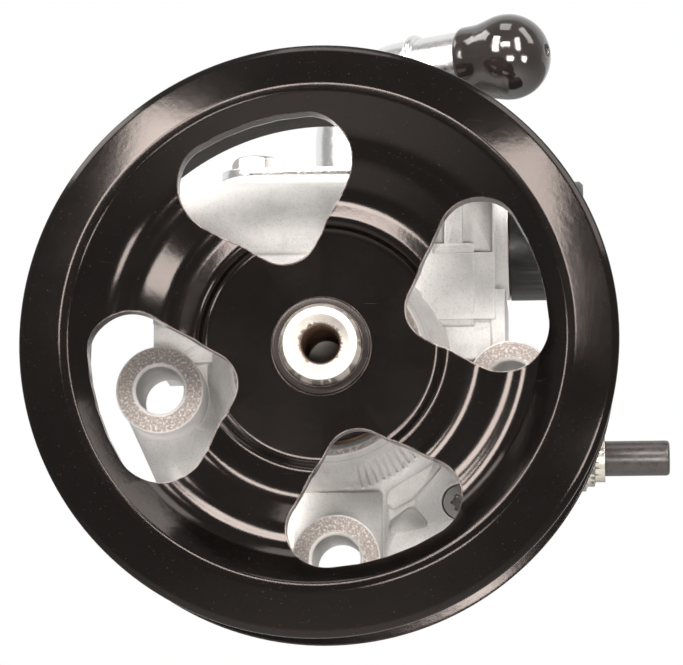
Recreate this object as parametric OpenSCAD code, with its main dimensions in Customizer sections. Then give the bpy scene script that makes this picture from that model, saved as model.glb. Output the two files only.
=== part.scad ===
// Vane power steering pump with a pressed ribbed pulley, in millimetres.
// The shaft lies along Y, its pulling thread begins at the origin, depth grows with +Y and Z is up.

/* [Pulley] */
// Outer radius of the front belt flange
pulley_r = 66; // [63:0.5:69]
// Thickness of the pressed sheet
sheet_t = 3.5; // [2.6:0.1:4]
// Number of belt ribs
belt_ribs = 6; // [4:1:6]
// Depth of one belt groove
groove_depth = 2.5; // [2:0.1:3]
// Height of a belt flange over the rib tips
flange_h = 4.4; // [3.4:0.1:5]
// How much smaller the rear flange is in radius
rear_flange_drop = 0.8; // [0.4:0.1:1.5]
// Radius of the flat centre disc
disc_r = 26; // [25:0.1:27]
// Depth of the centre disc's front face behind the shaft end
disc_y = 3; // [2:0.1:4]
// How far the inner bead stands in front of the disc
bead_h = 2.8; // [1.5:0.1:3.5]
// How far the spoke shelf stands in front of the disc
shelf_h = 7; // [5:0.1:8]
// How far the crest ring stands in front of the disc
crest_h = 15.2; // [13:0.1:17]
// How far the front flange lip stands in front of the disc
lip_h = 11; // [9.5:0.1:12]
// Number of access windows
window_count = 4; // [3:1:4]
// Turn of the first window from +X
window_turn = 17.5; // [0:0.5:45]
// Outer radius that a window reaches
window_out = 50.8; // [49:0.1:51.4]
// Corner radius of a window
window_corner = 9.5; // [8:0.1:10.5]
// Half angle between a window's outer corner centres
window_half = 14.4; // [12:0.1:16]
// Radius where a window begins
window_in = 20; // [19:0.1:21]
// Tip radius of a window
window_tip = 7.5; // [6:0.1:8.5]

/* [Shaft and bearing] */
// Radius of the shaft in the pulley hub
shaft_r = 9; // [8.8:0.05:9.3]
// Depth of the countersink that leads into the pulling thread
shaft_nose = 1; // [0.6:0.1:1.2]
// Wall of the pulley hub sleeve
hub_wall = 2; // [1.6:0.1:2.6]
// Wall radius of the pulling thread in the shaft end
pull_thread_r = 4.6; // [4:0.1:5]
// Depth of the pulling thread
pull_thread_depth = 22; // [16:1:26]
// Bore radius of the ball bearing
bearing_in = 10; // [9.8:0.05:10.4]
// Outer radius of the ball bearing
bearing_out = 19; // [18.6:0.1:19.2]
// Width of the ball bearing
bearing_w = 9; // [8:0.1:9.5]
// Ball radius
ball_r = 2.5; // [2.3:0.1:2.7]
// Number of balls
ball_count = 9; // [7:1:9]
// Running radius of the shaft in its seal and bush
journal_r = 8.5; // [8.4:0.05:8.7]
// Wall of the plain bush
bush_wall = 2; // [1.5:0.1:2.5]
// Outer radius of the shaft seal
seal_r = 14; // [13:0.1:15]
// Width of the shaft seal
seal_w = 7; // [6:0.1:7.5]

/* [Housing] */
// Depth of the nose face behind the shaft end
nose_y = 22; // [21.5:0.1:23]
// Radius of the nose face
nose_r = 21.9; // [21.6:0.1:22.4]
// Radius of the nose at its root
nose_root_r = 29; // [28:0.1:30]
// Number of cast grooves on the nose
slit_count = 9; // [5:1:10]
// Depth of the lug faces behind the shaft end
lug_y = 24; // [22:0.1:26]
// Radius of a lug boss
lug_r = 10; // [9.4:0.1:10.6]
// Radius of the bolt hole in a lug
lug_hole = 5.5; // [5:0.1:5.7]
// Depth where the lug web begins
web_y = 36; // [34:0.1:38]
// Thickness of the lug web
web_t = 7.5; // [6:0.1:7.5]
// Outer radius of the pump body
body_r = 31.5; // [31:0.1:32]
// Radius of the pumping chamber
chamber_r = 26.5; // [26:0.1:27]
// Depth where the pumping chamber begins
chamber_y = 62; // [61:0.1:64]
// Thickness of the rear cover
cover_t = 8.5; // [7:0.1:10]

/* [Pumping group] */
// Width of the cam ring
cam_w = 18; // [15:0.5:20]
// Gap round the cam ring in the chamber
cam_gap = 2; // [1.5:0.1:2.5]
// Smallest inner radius of the cam ring
cam_in = 16; // [15.7:0.1:16.4]
// Extra reach of the cam ring's long axis
cam_throw = 1.4; // [1:0.1:1.6]
// Number of vanes
vane_count = 10; // [8:1:10]
// Vane thickness
vane_t = 1.5; // [1.2:0.1:1.8]
// Vane height
vane_h = 6; // [5:0.1:6.2]
// Thickness of a side plate
plate_t = 6; // [5:0.1:7]
// Thickness of the plate spring
spring_t = 1.5; // [1:0.1:2]

/* [Flow valve] */
// Radius of the valve bore
valve_r = 8; // [7:0.1:8.2]
// Outer radius of the valve barrel
barrel_r = 15; // [14.6:0.1:15.3]
// Height of the valve axis over the shaft
valve_z = 31.8; // [31:0.1:32.4]
// Depth of the valve axis
valve_y = 46; // [45:0.1:47]
// Stroke of the spool
spool_stroke = 8; // [5:0.5:9]
// Radius of the valve spring's wire
wire_r = 0.7; // [0.5:0.05:0.8]
// Number of turns of the valve spring
spring_turns = 7; // [5:1:8]

/* [Suction and outlet] */
// Outer radius of the suction pipe
pipe_r = 8; // [7.5:0.1:8.4]
// Wall of the suction pipe
pipe_wall = 1.2; // [1:0.1:1.6]
// Bend radius of the suction pipe
pipe_bend = 16; // [15:0.1:20]
// Rise of the pipe's end over level
pipe_rise = 3; // [0:0.5:8]
// Turn of the pipe's end toward the front
pipe_turn = 22; // [10:1:28]
// Straight length of the pipe after its bend
pipe_end = 31; // [29:0.1:34]
// Height of the suction pad over the shaft
pad_z = 50.1; // [49.6:0.1:51.4]
// Outer radius of the outlet's transport cap
outlet_cap_r = 13.8; // [13.4:0.1:14.2]
// Radius of the outlet union's mouth
union_r = 7; // [6:0.1:7.4]

/* [Pressure switch] */
// Height of the switch axis over the shaft
switch_z = -18.5; // [-19:0.1:-17.8]
// Depth of the switch axis
switch_y = 54; // [54:0.1:55]
// Length of the black terminal pin
switch_pin_l = 15; // [10:0.5:20]

/* [Hidden] */
$fn = 96;
e = 1;
run = 0.05;

// Places along the shaft
ring_t = 1.2;
ring_y = nose_y + 2;
bearing_y = ring_y + ring_t;
bearing_end = bearing_y + bearing_w;
collar_end = bearing_end + 3.2;
seal_y = collar_end + 1;
bush_y = seal_y + seal_w + 2;
hub_r = shaft_r + hub_wall;
hub_end = bearing_y - 0.9;
plate_y = chamber_y + spring_t;
cam_y = plate_y + plate_t;
cam_end = cam_y + cam_w;
body_end = cam_end + plate_t;
cover_end = body_end + cover_t;
web_end = web_y + web_t;
cam_r = chamber_r - cam_gap;
spline_r = 6;
spline_tip = 7.2;
spline_n = 12;
spline_w = 2;

// Places of the lugs, screws and bolts in the X and Z plane
lugs = [[-38.6, -5.9], [1.7, -45], [41.5, -5.6]];
lug_lead = 0.6;
low_screws = [[-28.6, -30.2], [29.3, -30.7]];
high_bolts = [[-28.7, 28.7], [28.7, 28.7]];
boss_r = 9;
screw_r = 2.6;
screw_head_r = 3.9;
screw_head_h = 5;
screw_seat = web_y + 5.6;
socket_r = 1.7;
bolt_r = 4;

// Pulley section
rib_pitch = 3.56;
lip_y = disc_y - lip_h;
crest_y = disc_y - crest_h;
tip_r = pulley_r - flange_h;
root_r = tip_r - groove_depth;
rim_in = root_r - sheet_t;
rear_r = pulley_r - rear_flange_drop;
rear_taper = 2;
crest_r = rim_in - 0.3;
track_y = lip_y + 2.9;
track_end = track_y + belt_ribs * rib_pitch;
rim_end = track_end + 2.2;
groove_flat = 0.5;
groove_top = groove_flat + 2 * groove_depth * tan(20);

// Valve along X
barrel_x0 = -42;
barrel_x1 = 40.8;
block_x0 = -41.2;
barrel_step = 33;
barrel_face = 37.7;
spigot_r = 13.6;
plug_in = -30;
plug_thread_r = valve_r + 1.2;
union_in = 24;
union_thread_r = valve_r + 1.5;
spool_x0 = -8;
spool_clear = 0.03;
spool_bore = 14;
stop_r = 3;
washer_t = 1.5;

// Suction pad, pipe and bolts in the X and Y plane
pipe_x = 1.8;
pipe_y = 66;
pipe_up = 60;
flange_t = 2.1;
suction_pts = [[-19.8, 61], [-15, 79]];
pad_r = 8.5;
suction_hex = 6.35;
suction_bolt_r = 3;

// Switch along X
switch_x = 42.4;
switch_thread_r = 5;

// Basic forms: bars and turned bodies on each axis
module ybar(r, y0, y1) translate([0, y0, 0]) rotate([-90, 0, 0]) cylinder(r = r, h = y1 - y0);
module ycone(ra, rb, y0, y1)
    translate([0, y0, 0]) rotate([-90, 0, 0]) cylinder(r1 = ra, r2 = rb, h = y1 - y0);
module xbar(r, x0, x1) translate([x0, 0, 0]) rotate([0, 90, 0]) cylinder(r = r, h = x1 - x0);
module yspin(pts) rotate([-90, 0, 0]) rotate_extrude() polygon(pts);
module xspin(pts) rotate([0, 90, 0]) rotate_extrude() polygon(pts);
module yslab(y0, y1) translate([0, y1, 0]) rotate([90, 0, 0]) linear_extrude(y1 - y0) children();
module at_xz(p) translate([p[0], 0, p[1]]) children();
module on_valve() translate([0, valve_y, valve_z]) children();

// Outline around circles [x, y, r] listed counter-clockwise, with straight tangents
function lean(a, b) =
    atan2(b[1] - a[1], b[0] - a[0]) - acos((a[2] - b[2]) / norm([b[0] - a[0], b[1] - a[1]]));
function reach(c, t) = [c[0] + (c[2] - 0.02) * cos(t), c[1] + (c[2] - 0.02) * sin(t)];
function tangents(c) = [for (i = [0:len(c) - 1])
    let (a = c[i], b = c[(i + 1) % len(c)], t = lean(a, b)) each [reach(a, t), reach(b, t)]];
module rounded(c) {
    polygon(tangents(c));
    for (q = c) translate([q[0], q[1]]) circle(r = q[2]);
}

// Even sheet: a line of points moved square to itself by t
function unit(v) = v / norm(v);
function side(a, b) = let (d = unit(b - a)) [-d[1], d[0]];
function shifted(p, t) = [for (i = [0:len(p) - 1])
    let (n1 = side(p[max(i - 1, 0)], p[max(i, 1)]),
        n2 = side(p[min(i, len(p) - 2)], p[min(i + 1, len(p) - 1)]))
    p[i] + t * (n1 + n2) / (1 + n1 * n2)];

// Pulley: pressed disc with bead, shelf and crest, and a ribbed rim with two flanges
sheet_line = [[hub_r, disc_y], [disc_r - 0.3, disc_y], [disc_r + 0.3, disc_y - 0.3],
    [disc_r + 1.7, disc_y - bead_h + 0.4], [disc_r + 2.6, disc_y - bead_h],
    [disc_r + 6.6, disc_y - bead_h + 1], [disc_r + 8.4, disc_y - bead_h + 1.1],
    [disc_r + 10, disc_y - bead_h + 0.5], [disc_r + 15, disc_y - shelf_h + 1.1],
    [disc_r + 16.4, disc_y - shelf_h + 0.3], [disc_r + 18, disc_y - shelf_h],
    [disc_r + 20, disc_y - shelf_h - 0.3], [disc_r + 21.2, disc_y - shelf_h - 1],
    [crest_r - 1.4, crest_y + 1]];
groove_line = [for (i = [0:belt_ribs - 1]) let (y = track_y + (i + 0.5) * rib_pitch)
    each [[tip_r, y - groove_top / 2], [root_r, y - groove_flat / 2],
        [root_r, y + groove_flat / 2], [tip_r, y + groove_top / 2]]];
rim_line = concat(
    [[crest_r - 0.4, crest_y], [crest_r + 0.4, crest_y], [crest_r + 1, crest_y + 0.2],
        [pulley_r - 2.2, lip_y - 1.2], [pulley_r - 0.7, lip_y - 0.9], [pulley_r, lip_y],
        [pulley_r, lip_y + 1], [pulley_r - 0.2, lip_y + 1.4], [tip_r, track_y - 0.5]],
    groove_line,
    [[tip_r, track_end + 0.5], [rear_r, rim_end - 1], [rear_r, rim_end - 0.6],
        [rear_r - 0.6, rim_end], [rim_in - rear_taper, rim_end]]);
sheet_core = [[hub_r, disc_y], [disc_r, disc_y], [disc_r + 2.1, disc_y - bead_h],
    [disc_r + 8.4, disc_y - bead_h + 1.1], [disc_r + 16, disc_y - shelf_h + 0.3],
    [disc_r + 20.5, disc_y - shelf_h - 0.3], [crest_r - 1.4, crest_y + 1]];
sheet_back = shifted(sheet_core, sheet_t);
back_last = sheet_back[len(sheet_back) - 1];
back_prev = sheet_back[len(sheet_back) - 2];
rim_join = back_prev + (back_last - back_prev) * (rim_in - back_prev[0]) / (back_last[0] - back_prev[0]);
back_line = concat([rim_join], [for (i = [len(sheet_back) - 2:-1:0]) sheet_back[i]]);

module window_cut() {
    c = window_out - window_corner;
    yslab(crest_y - e, rim_end + e) rounded(concat([[window_in + window_tip, 0, window_tip]],
        [for (k = [-2:2]) let (a = k * window_half / 2) [c * cos(a), c * sin(a), window_corner]]));
}

module pulley() color("#1b1817") difference() {
    yspin(concat(sheet_line, rim_line, back_line));
    for (i = [0:window_count - 1]) rotate([0, -window_turn - i * 360 / window_count, 0]) window_cut();
}

// Hub: sleeve with a welding flange behind the disc
module pulley_hub() color("#22201f") yspin([[shaft_r, disc_y - 1], [shaft_r + 0.3, disc_y - 1.3],
    [hub_r - 0.4, disc_y - 1.3], [hub_r, disc_y - 0.9], [hub_r, disc_y + sheet_t],
    [hub_r + 4, disc_y + sheet_t], [hub_r + 4, disc_y + sheet_t + 2],
    [hub_r, disc_y + sheet_t + 2.8], [hub_r, hub_end], [shaft_r, hub_end]]);

// Shaft: stepped, with a pulling thread in front and a spline for the rotor behind
module drive_shaft() color("#b9b8b4") difference() {
    union() {
        yspin([[0, -shaft_nose], [shaft_r - 0.8, -shaft_nose], [shaft_r, 0.8 - shaft_nose], [shaft_r, hub_end],
            [bearing_in, hub_end], [bearing_in, bearing_end], [bearing_in + 2.2, bearing_end],
            [bearing_in + 2.2, collar_end], [journal_r, collar_end], [journal_r, cam_y - 2],
            [spline_r, cam_y - 1], [spline_r, body_end - 1.5], [0, body_end - 1.5]]);
        for (i = [0:spline_n - 1]) rotate([0, i * 360 / spline_n, 0])
            translate([spline_r - 1, cam_y - 2, -spline_w / 2])
                cube([spline_tip - spline_r + 1, cam_w + 3.5, spline_w]);
    }
    ybar(pull_thread_r, -shaft_nose - e, pull_thread_depth);
    ycone(pull_thread_r + 3 * shaft_nose, pull_thread_r, -1.5 * shaft_nose, 0);
    yspin([[spline_r - 0.6, cam_end + 0.3], [spline_tip + e, cam_end + 0.3],
        [spline_tip + e, cam_end + 1.5], [spline_r - 0.6, cam_end + 1.5]]);
}

// Ball bearing: two races, balls and a riveted cage
pitch_r = (bearing_in + bearing_out) / 2;
race_in = pitch_r - ball_r + 0.9;
race_out = pitch_r + ball_r - 0.9;
ball_y = bearing_y + bearing_w / 2;
module race_groove() rotate([-90, 0, 0]) translate([0, 0, ball_y])
    rotate_extrude() translate([pitch_r, 0]) circle(r = ball_r + run);
module ring(ro, ri, y0, y1) yspin([[ri, y0], [ro, y0], [ro, y1], [ri, y1]]);
module bearing_outer() color("#c9c8c4") difference() {
    ring(bearing_out, race_out, bearing_y, bearing_end);
    race_groove();
}
module bearing_inner() color("#c9c8c4") difference() {
    ring(race_in, bearing_in, bearing_y, bearing_end);
    race_groove();
}
module bearing_balls() color("#d5d5d2") for (i = [0:ball_count - 1])
    rotate([0, i * 360 / ball_count, 0]) translate([pitch_r, ball_y, 0]) sphere(r = ball_r);
module bearing_cage() color("#a08a52") difference() {
    ring(race_out - 0.6, race_in + 0.6, ball_y - ball_r - 0.9, ball_y + ball_r + 0.9);
    for (i = [0:ball_count - 1]) rotate([0, i * 360 / ball_count, 0])
        translate([0, ball_y, 0]) xbar(ball_r + 0.1, race_in - e, race_out + e);
}

// Retaining ring: open ring with two eyes in the nose groove
ring_out = bearing_out + 0.8;
ring_in = bearing_out - 0.8;
ring_eye = ring_in - 1;
module bearing_ring() color("#3a3836") difference() {
    union() {
        ring(ring_out, ring_in, ring_y, bearing_y);
        for (a = [76, 104]) at_xz([ring_eye * cos(a), ring_eye * sin(a)]) ybar(1.8, ring_y, bearing_y);
    }
    translate([-2.4, ring_y - e, 10]) cube([4.8, ring_t + 2 * e, 20]);
    for (a = [76, 104]) at_xz([ring_eye * cos(a), ring_eye * sin(a)]) ybar(0.9, ring_y - e, bearing_y + e);
}

// Shaft seal with a lip, and plain bush
module shaft_seal() color("#2a2624") yspin([[journal_r + run, seal_y + 1], [journal_r + 1.6, seal_y],
    [seal_r, seal_y], [seal_r, seal_y + seal_w], [journal_r + 3, seal_y + seal_w],
    [journal_r + 3, seal_y + 3], [journal_r + 1.2, seal_y + 5], [journal_r + run, seal_y + 4.4]]);
module shaft_bush() color("#9c7a44")
    ring(journal_r + run + bush_wall, journal_r + run, bush_y, chamber_y);

// Housing: nose, lugs, web, body, valve barrel, suction pad and switch boss in one casting
web = [[lugs[0][0], lugs[0][1], lug_r], [low_screws[0][0], low_screws[0][1], boss_r],
    [lugs[1][0], lugs[1][1], lug_r], [low_screws[1][0], low_screws[1][1], boss_r],
    [lugs[2][0], lugs[2][1], lug_r]];
pad = [[pipe_x, pipe_y, 13], [suction_pts[1][0], suction_pts[1][1], pad_r],
    [suction_pts[0][0], suction_pts[0][1], pad_r]];
function ear(p) = [[0, 0, body_r - 1.5], [p[0], p[1], boss_r]];
cone_end = web_y;
slit_from = nose_r + 2.2;
slit_to = nose_r + 6.3;
function cone_at(r) = nose_y + (r - nose_r) * (cone_end - nose_y) / (nose_root_r - nose_r);
module slit(a) rotate([0, -a, 0]) translate([0, 0, -0.25]) linear_extrude(0.5)
    polygon([[slit_from, cone_at(slit_from) - 2], [slit_to, cone_at(slit_to) - 2],
        [slit_to, cone_at(slit_to) + 1.2], [slit_from, cone_at(slit_from) + 1.2]]);

module housing() color("#c4c3be") difference() {
    union() {
        ycone(nose_r, nose_root_r, nose_y, cone_end);
        ybar(nose_root_r, cone_end, web_end);
        for (p = lugs) at_xz(p) ybar(lug_r, lug_y, web_end);
        yslab(web_y, web_end) rounded(web);
        ybar(body_r, web_y + 3, body_end);
        for (p = low_screws) yslab(web_y, body_end) rounded(ear(p));
        for (p = high_bolts) yslab(valve_y, body_end) rounded(ear(p));
        on_valve() {
            xbar(barrel_r, barrel_x0, barrel_step);
            xbar(barrel_r - 1.3, barrel_step - e, barrel_face);
            xbar(spigot_r, barrel_face - e, barrel_x1);
        }
        translate([block_x0, web_y - 4, 11]) cube([barrel_face - block_x0, 34, valve_z - 11]);
        translate([block_x0, web_y - 2.6, 2]) cube([barrel_face - block_x0, 32.6, 10]);
        translate([barrel_face - e, web_y - 3.5, 2]) cube([2.3 + e, 29, 16]);
        translate([0, 0, 15]) linear_extrude(pad_z - 15) rounded(pad);
        translate([0, switch_y, switch_z]) xbar(9.5, 20, switch_x);
        translate([lugs[1][0] - lug_r, web_y - 5, lugs[1][1]]) cube([2 * lug_r, 8, -29 - lugs[1][1]]);
        translate([22, valve_y - barrel_r + 1, valve_z]) cube([barrel_face - 22, 12, pad_z - valve_z - 6]);
    }
    for (p = lugs) at_xz(p) {
        ybar(lug_hole, lug_y - e, web_end + e);
        ycone(lug_hole + lug_lead + e, lug_hole, lug_y - e, lug_y + lug_lead);
    }
    for (i = [0:slit_count - 1]) slit(-75.6 + i * 28.4 / (slit_count - 1));
    ybar(bearing_out, nose_y - e, bearing_end);
    ycone(bearing_out + 2.2, bearing_out, nose_y - e, ring_y);
    ybar(ring_out, ring_y, bearing_y);
    ybar(bearing_in + 5.8, bearing_y, seal_y);
    ybar(seal_r, bearing_y, seal_y + seal_w);
    ybar(journal_r + 0.5, bearing_y, chamber_y);
    ybar(journal_r + run + bush_wall, bush_y, chamber_y + e);
    ybar(chamber_r, chamber_y, body_end + e);
    for (p = low_screws) at_xz(p) {
        ybar(screw_head_r + 0.35, web_y - e, screw_seat);
        ybar(screw_r + 0.3, web_y - e, body_end + e);
    }
    for (p = high_bolts) at_xz(p) ybar(bolt_r, cam_y, body_end + e);
    on_valve() {
        xbar(valve_r, barrel_x0 - e, barrel_x1 + e);
        xbar(plug_thread_r, barrel_x0 - e, plug_in);
        xbar(union_thread_r, union_in, barrel_x1 + e);
    }
    translate([pipe_x, pipe_y, 0]) {
        translate([0, 0, 20]) cylinder(r = pipe_r - pipe_wall, h = pad_z);
        translate([0, 0, pad_z - 9]) cylinder(r = pipe_r + run, h = 9 + e);
    }
    for (p = suction_pts) translate([p[0], p[1], pad_z - 13]) cylinder(r = suction_bolt_r, h = 13 + e);
    translate([0, switch_y, switch_z]) {
        xbar(switch_thread_r, switch_root - 2, switch_x + e);
        xbar(1.5, 17, switch_root - e);
    }
    at_xz([17, switch_z]) ybar(1.5, switch_y, chamber_y + e);
    at_xz([9, chamber_r - 3.5]) ybar(2.4, valve_y, chamber_y + e);
    at_xz([-2, valve_z + 3]) ybar(2.5, valve_y, pipe_y);
    yslab(web_y - 6, web_y + 3) rounded([[14, -30.6, 1.7], [18, -28.6, 1.5], [23.8, -22.4, 1.2],
        [13.8, -28.6, 1.4]]);
    yslab(web_y - 6, web_y + 3) rounded([[14.6, -36, 1.8], [20.6, -35.5, 1.2], [18, -33.2, 1.6]]);
    for (x = [[23.5, 2.6], [30.2, 7]]) translate([x[0], valve_y - barrel_r - e, valve_z - 5.2])
        cube([x[1], 6, pad_z - valve_z - 3]);
    translate([23.5, valve_y - barrel_r - e, valve_z - 5.2]) cube([13.7, 3.2, pad_z - valve_z - 3]);
}

// Rear cover with a seal groove, tail pocket and four bolt ears
module rear_cover() color("#bdbcb7") difference() {
    union() {
        ybar(body_r, body_end, cover_end - 1.2);
        ycone(body_r, body_r - 1.2, cover_end - 1.2, cover_end);
        for (p = concat(low_screws, high_bolts)) yslab(body_end, cover_end) rounded(ear(p));
        ycone(24, 19, cover_end, cover_end + 5);
    }
    yspin([[chamber_r + 1.7, body_end - e], [chamber_r + 4.1, body_end - e],
        [chamber_r + 4.1, body_end + 2.2], [chamber_r + 1.7, body_end + 2.2]]);
    ybar(spline_tip + 3, body_end - e, body_end + 6);
    for (p = low_screws) at_xz(p) ybar(screw_r, body_end - e, cover_end - 1.5);
    for (p = high_bolts) at_xz(p) ybar(bolt_r + 0.3, body_end - e, cover_end + e);
}

// Front screws with a six-lobed socket
module cover_screws() color("#8d8a84") for (p = low_screws) at_xz(p) difference() {
    union() {
        ybar(screw_head_r, screw_seat - screw_head_h, screw_seat);
        ybar(screw_r, screw_seat, cover_end - 2);
    }
    ybar(socket_r, screw_seat - screw_head_h - e, screw_seat - 2);
    for (i = [0:5]) rotate([0, i * 60, 0]) at_xz([socket_r, 0])
        ybar(0.5, screw_seat - screw_head_h - e, screw_seat - 2);
}

// Rear bolts with flanged hexagon heads
module cover_bolts() color("#a3a09a") for (p = high_bolts) at_xz(p) {
    ybar(bolt_r, cam_y + 2, cover_end + 1);
    ybar(8, cover_end, cover_end + 1.5);
    translate([0, cover_end + 1, 0]) rotate([-90, 0, 0]) cylinder(r = 6.9, h = 6, $fn = 6);
}

// Rotor: slotted for the vanes and splined on the shaft
rotor_r = cam_in - 0.4;
module spline_slots(w) for (i = [0:spline_n - 1]) rotate([0, i * 360 / spline_n, 0])
    translate([0, cam_y - e, -w / 2]) cube([spline_tip + run, cam_w + 2 * e, w]);
module rotor() color("#9a9994") difference() {
    ring(rotor_r, spline_r + run, cam_y + run, cam_end - run);
    spline_slots(spline_w + 2 * run);
    for (i = [0:vane_count - 1]) rotate([0, (i + 0.5) * 360 / vane_count, 0])
        translate([rotor_r - vane_h - 0.6, cam_y - e, -vane_t / 2 - run])
            cube([vane_h + 4, cam_w + 2 * e, vane_t + 2 * run]);
}
module rotor_ring() color("#3a3836") difference() {
    ring(spline_tip + 1, spline_r - 0.5, cam_end + 0.35, cam_end + 1.45);
    translate([-2, cam_end - e, 0]) cube([4, 4, 20]);
}
module vanes() color("#84827d") for (i = [0:vane_count - 1])
    rotate([0, (i + 0.5) * 360 / vane_count, 0])
        translate([cam_in - 0.1 - vane_h, cam_y + run, -vane_t / 2]) cube([vane_h, cam_w - 2 * run, vane_t]);

// Cam ring: two offset arcs joined by flats
pin_at = [[0, cam_r - 3.3], [0, 3.3 - cam_r]];
pin_r = 1.8;
module cam_ring() color("#7d7b77") difference() {
    ybar(cam_r, cam_y, cam_end);
    for (s = [-1, 1]) translate([s * cam_throw, 0, 0]) ybar(cam_in, cam_y - e, cam_end + e);
    translate([-cam_throw, cam_y - e, -cam_in]) cube([2 * cam_throw, cam_w + 2 * e, 2 * cam_in]);
    for (p = pin_at) at_xz(p) ybar(pin_r, cam_y - e, cam_end + e);
}

// Side plates with curved ports, located by two pins
module port(a) rotate([0, -a, 0]) rotate([-90, 0, 0]) rotate([0, 0, -18]) rotate_extrude(angle = 36)
    translate([cam_in - 3.6, 0]) square([3.4, 60]);
module ports(a) for (k = [0, 180]) translate([0, plate_y - e, 0]) port(a + k);
module front_plate() color("#8b8984") difference() {
    ybar(chamber_r - 0.1, plate_y, cam_y);
    ybar(journal_r + 0.3, plate_y - e, cam_y + e);
    ports(35);
    for (p = pin_at) at_xz(p) ybar(pin_r, plate_y + 2, cam_y + e);
    yspin([[chamber_r - 2.1, plate_y + 1.7], [chamber_r + e, plate_y + 1.7],
        [chamber_r + e, plate_y + 4.3], [chamber_r - 2.1, plate_y + 4.3]]);
}
module rear_plate() color("#8b8984") difference() {
    ybar(chamber_r - 0.1, cam_end, body_end);
    ybar(spline_tip + 2, cam_end - e, cam_end + 3);
    ybar(spline_tip + 0.4, cam_end - e, body_end + e);
    translate([0, cam_end - cam_y, 0]) ports(-35);
    for (p = pin_at) at_xz(p) ybar(pin_r, cam_end - e, body_end - 2);
}
module plate_spring() color("#6f6d69") difference() {
    ring(chamber_r - 6, bush_wall + journal_r + 1, chamber_y, plate_y);
    for (k = [0:3]) rotate([0, k * 90 + 45, 0]) translate([chamber_r - 9, chamber_y - e, -3])
        cube([10, spring_t + 2 * e, 6]);
}
module dowel_pins() color("#b0aea9") for (p = pin_at) at_xz(p) ybar(pin_r, plate_y + 2.2, body_end - 2.2);

// O-rings of the chamber
module yoring(r, w, y) rotate([-90, 0, 0]) translate([0, 0, y]) rotate_extrude() translate([r, 0]) circle(r = w);
module cover_seal() color("#23201f") yoring(chamber_r + 2.9, 1.1, body_end + 1.1);
module plate_seal() color("#23201f") yoring(chamber_r - 1.05, 1.05, plate_y + 3);

// Flow valve: spool, spring, plug and seal
module valve_spool() color("#a9a7a2") on_valve() difference() {
    s = valve_r - spool_clear;
    xspin([[0, spool_x0], [s, spool_x0], [s, spool_x0 + 8], [s - 1.8, spool_x0 + 8], [s - 1.8, spool_x0 + 12],
        [s, spool_x0 + 12], [s, spool_x0 + 22], [3.2, spool_x0 + 23], [3.2, union_in], [0, union_in]]);
    xbar(stop_r + 1.2, spool_x0 - e, spool_x0 + spool_bore);
    xbar(1, spool_x0 + spool_bore - e, union_in + e);
}
coil_r = valve_r - 2;
coil_pitch = (spool_x0 - plug_in - 2 * wire_r) / spring_turns;
coil_tilt = atan(coil_pitch / (4 * coil_r));
module half_turn(k) translate([0, 0, (k + 0.5) * coil_pitch / 2])
    rotate([0, k % 2 == 0 ? coil_tilt : -coil_tilt, 0]) rotate([0, 0, k % 2 == 0 ? 0 : 180])
        rotate_extrude(angle = 180) translate([coil_r, 0]) circle(r = wire_r);
module valve_spring() color("#8f8d88") on_valve() translate([plug_in + wire_r, 0, 0]) rotate([0, 90, 0])
    for (k = [0:2 * spring_turns - 1]) {
        half_turn(k);
        if (k > 0) translate([(k % 2 == 0 ? 1 : -1) * coil_r * cos(coil_tilt), 0, k * coil_pitch / 2])
            sphere(r = wire_r + 0.06);
    }
module valve_plug() color("#b5b3ae") on_valve() difference() {
    union() {
        xbar(plug_thread_r, barrel_x0, plug_in);
        xbar(stop_r, plug_in - e, spool_x0 + spool_bore - spool_stroke - 0.1);
        xbar(plug_thread_r + 2.4, barrel_x0 - 1.5, barrel_x0);
        translate([barrel_x0 - 6, 0, 0]) rotate([0, 90, 0]) cylinder(r = 9, h = 5, $fn = 6);
    }
    xspin([[plug_thread_r - 1.4, barrel_x0 + 1], [plug_thread_r + e, barrel_x0 + 1],
        [plug_thread_r + e, barrel_x0 + 3], [plug_thread_r - 1.4, barrel_x0 + 3]]);
}
module plug_seal() color("#23201f") on_valve() rotate([0, 90, 0]) translate([0, 0, barrel_x0 + 2])
    rotate_extrude() translate([plug_thread_r - 0.7, 0]) circle(r = 0.7);

// Pressure outlet: union with washer and transport cap
union_x = barrel_x1 + washer_t;
union_len = 12.4;
union_end = union_x + union_len;
union_hex_r = 11;
union_hex_h = 7;
cap_wall = 1.1;
module outlet_union() color("#b7b49f") on_valve() difference() {
    union() {
        xbar(union_thread_r, union_in, union_x);
        translate([union_x, 0, 0]) rotate([0, 90, 0]) cylinder(r = union_hex_r, h = union_hex_h, $fn = 6);
        xbar(union_r + 2, union_x + union_hex_h - e, union_end);
    }
    xbar(1.8, union_in - e, union_end);
    xbar(union_r, union_x + 2, union_end + e);
}
module union_seal() color("#a5682f") on_valve() xspin([[union_thread_r, barrel_x1],
    [union_thread_r + 1.3, barrel_x1], [union_thread_r + 1.3, union_x], [union_thread_r, union_x]]);
module outlet_cap() color("#1d1b1a") on_valve() xspin([[0, union_end - 8], [union_r - 0.6, union_end - 8],
    [union_r, union_end - 7], [union_r, union_end], [outlet_cap_r - cap_wall, union_end],
    [outlet_cap_r - cap_wall, barrel_x1 + 0.3], [outlet_cap_r, barrel_x1 + 0.3], [outlet_cap_r, union_end + 2.6],
    [outlet_cap_r - 0.8, union_end + 3.4], [0, union_end + 3.4]]);

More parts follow.
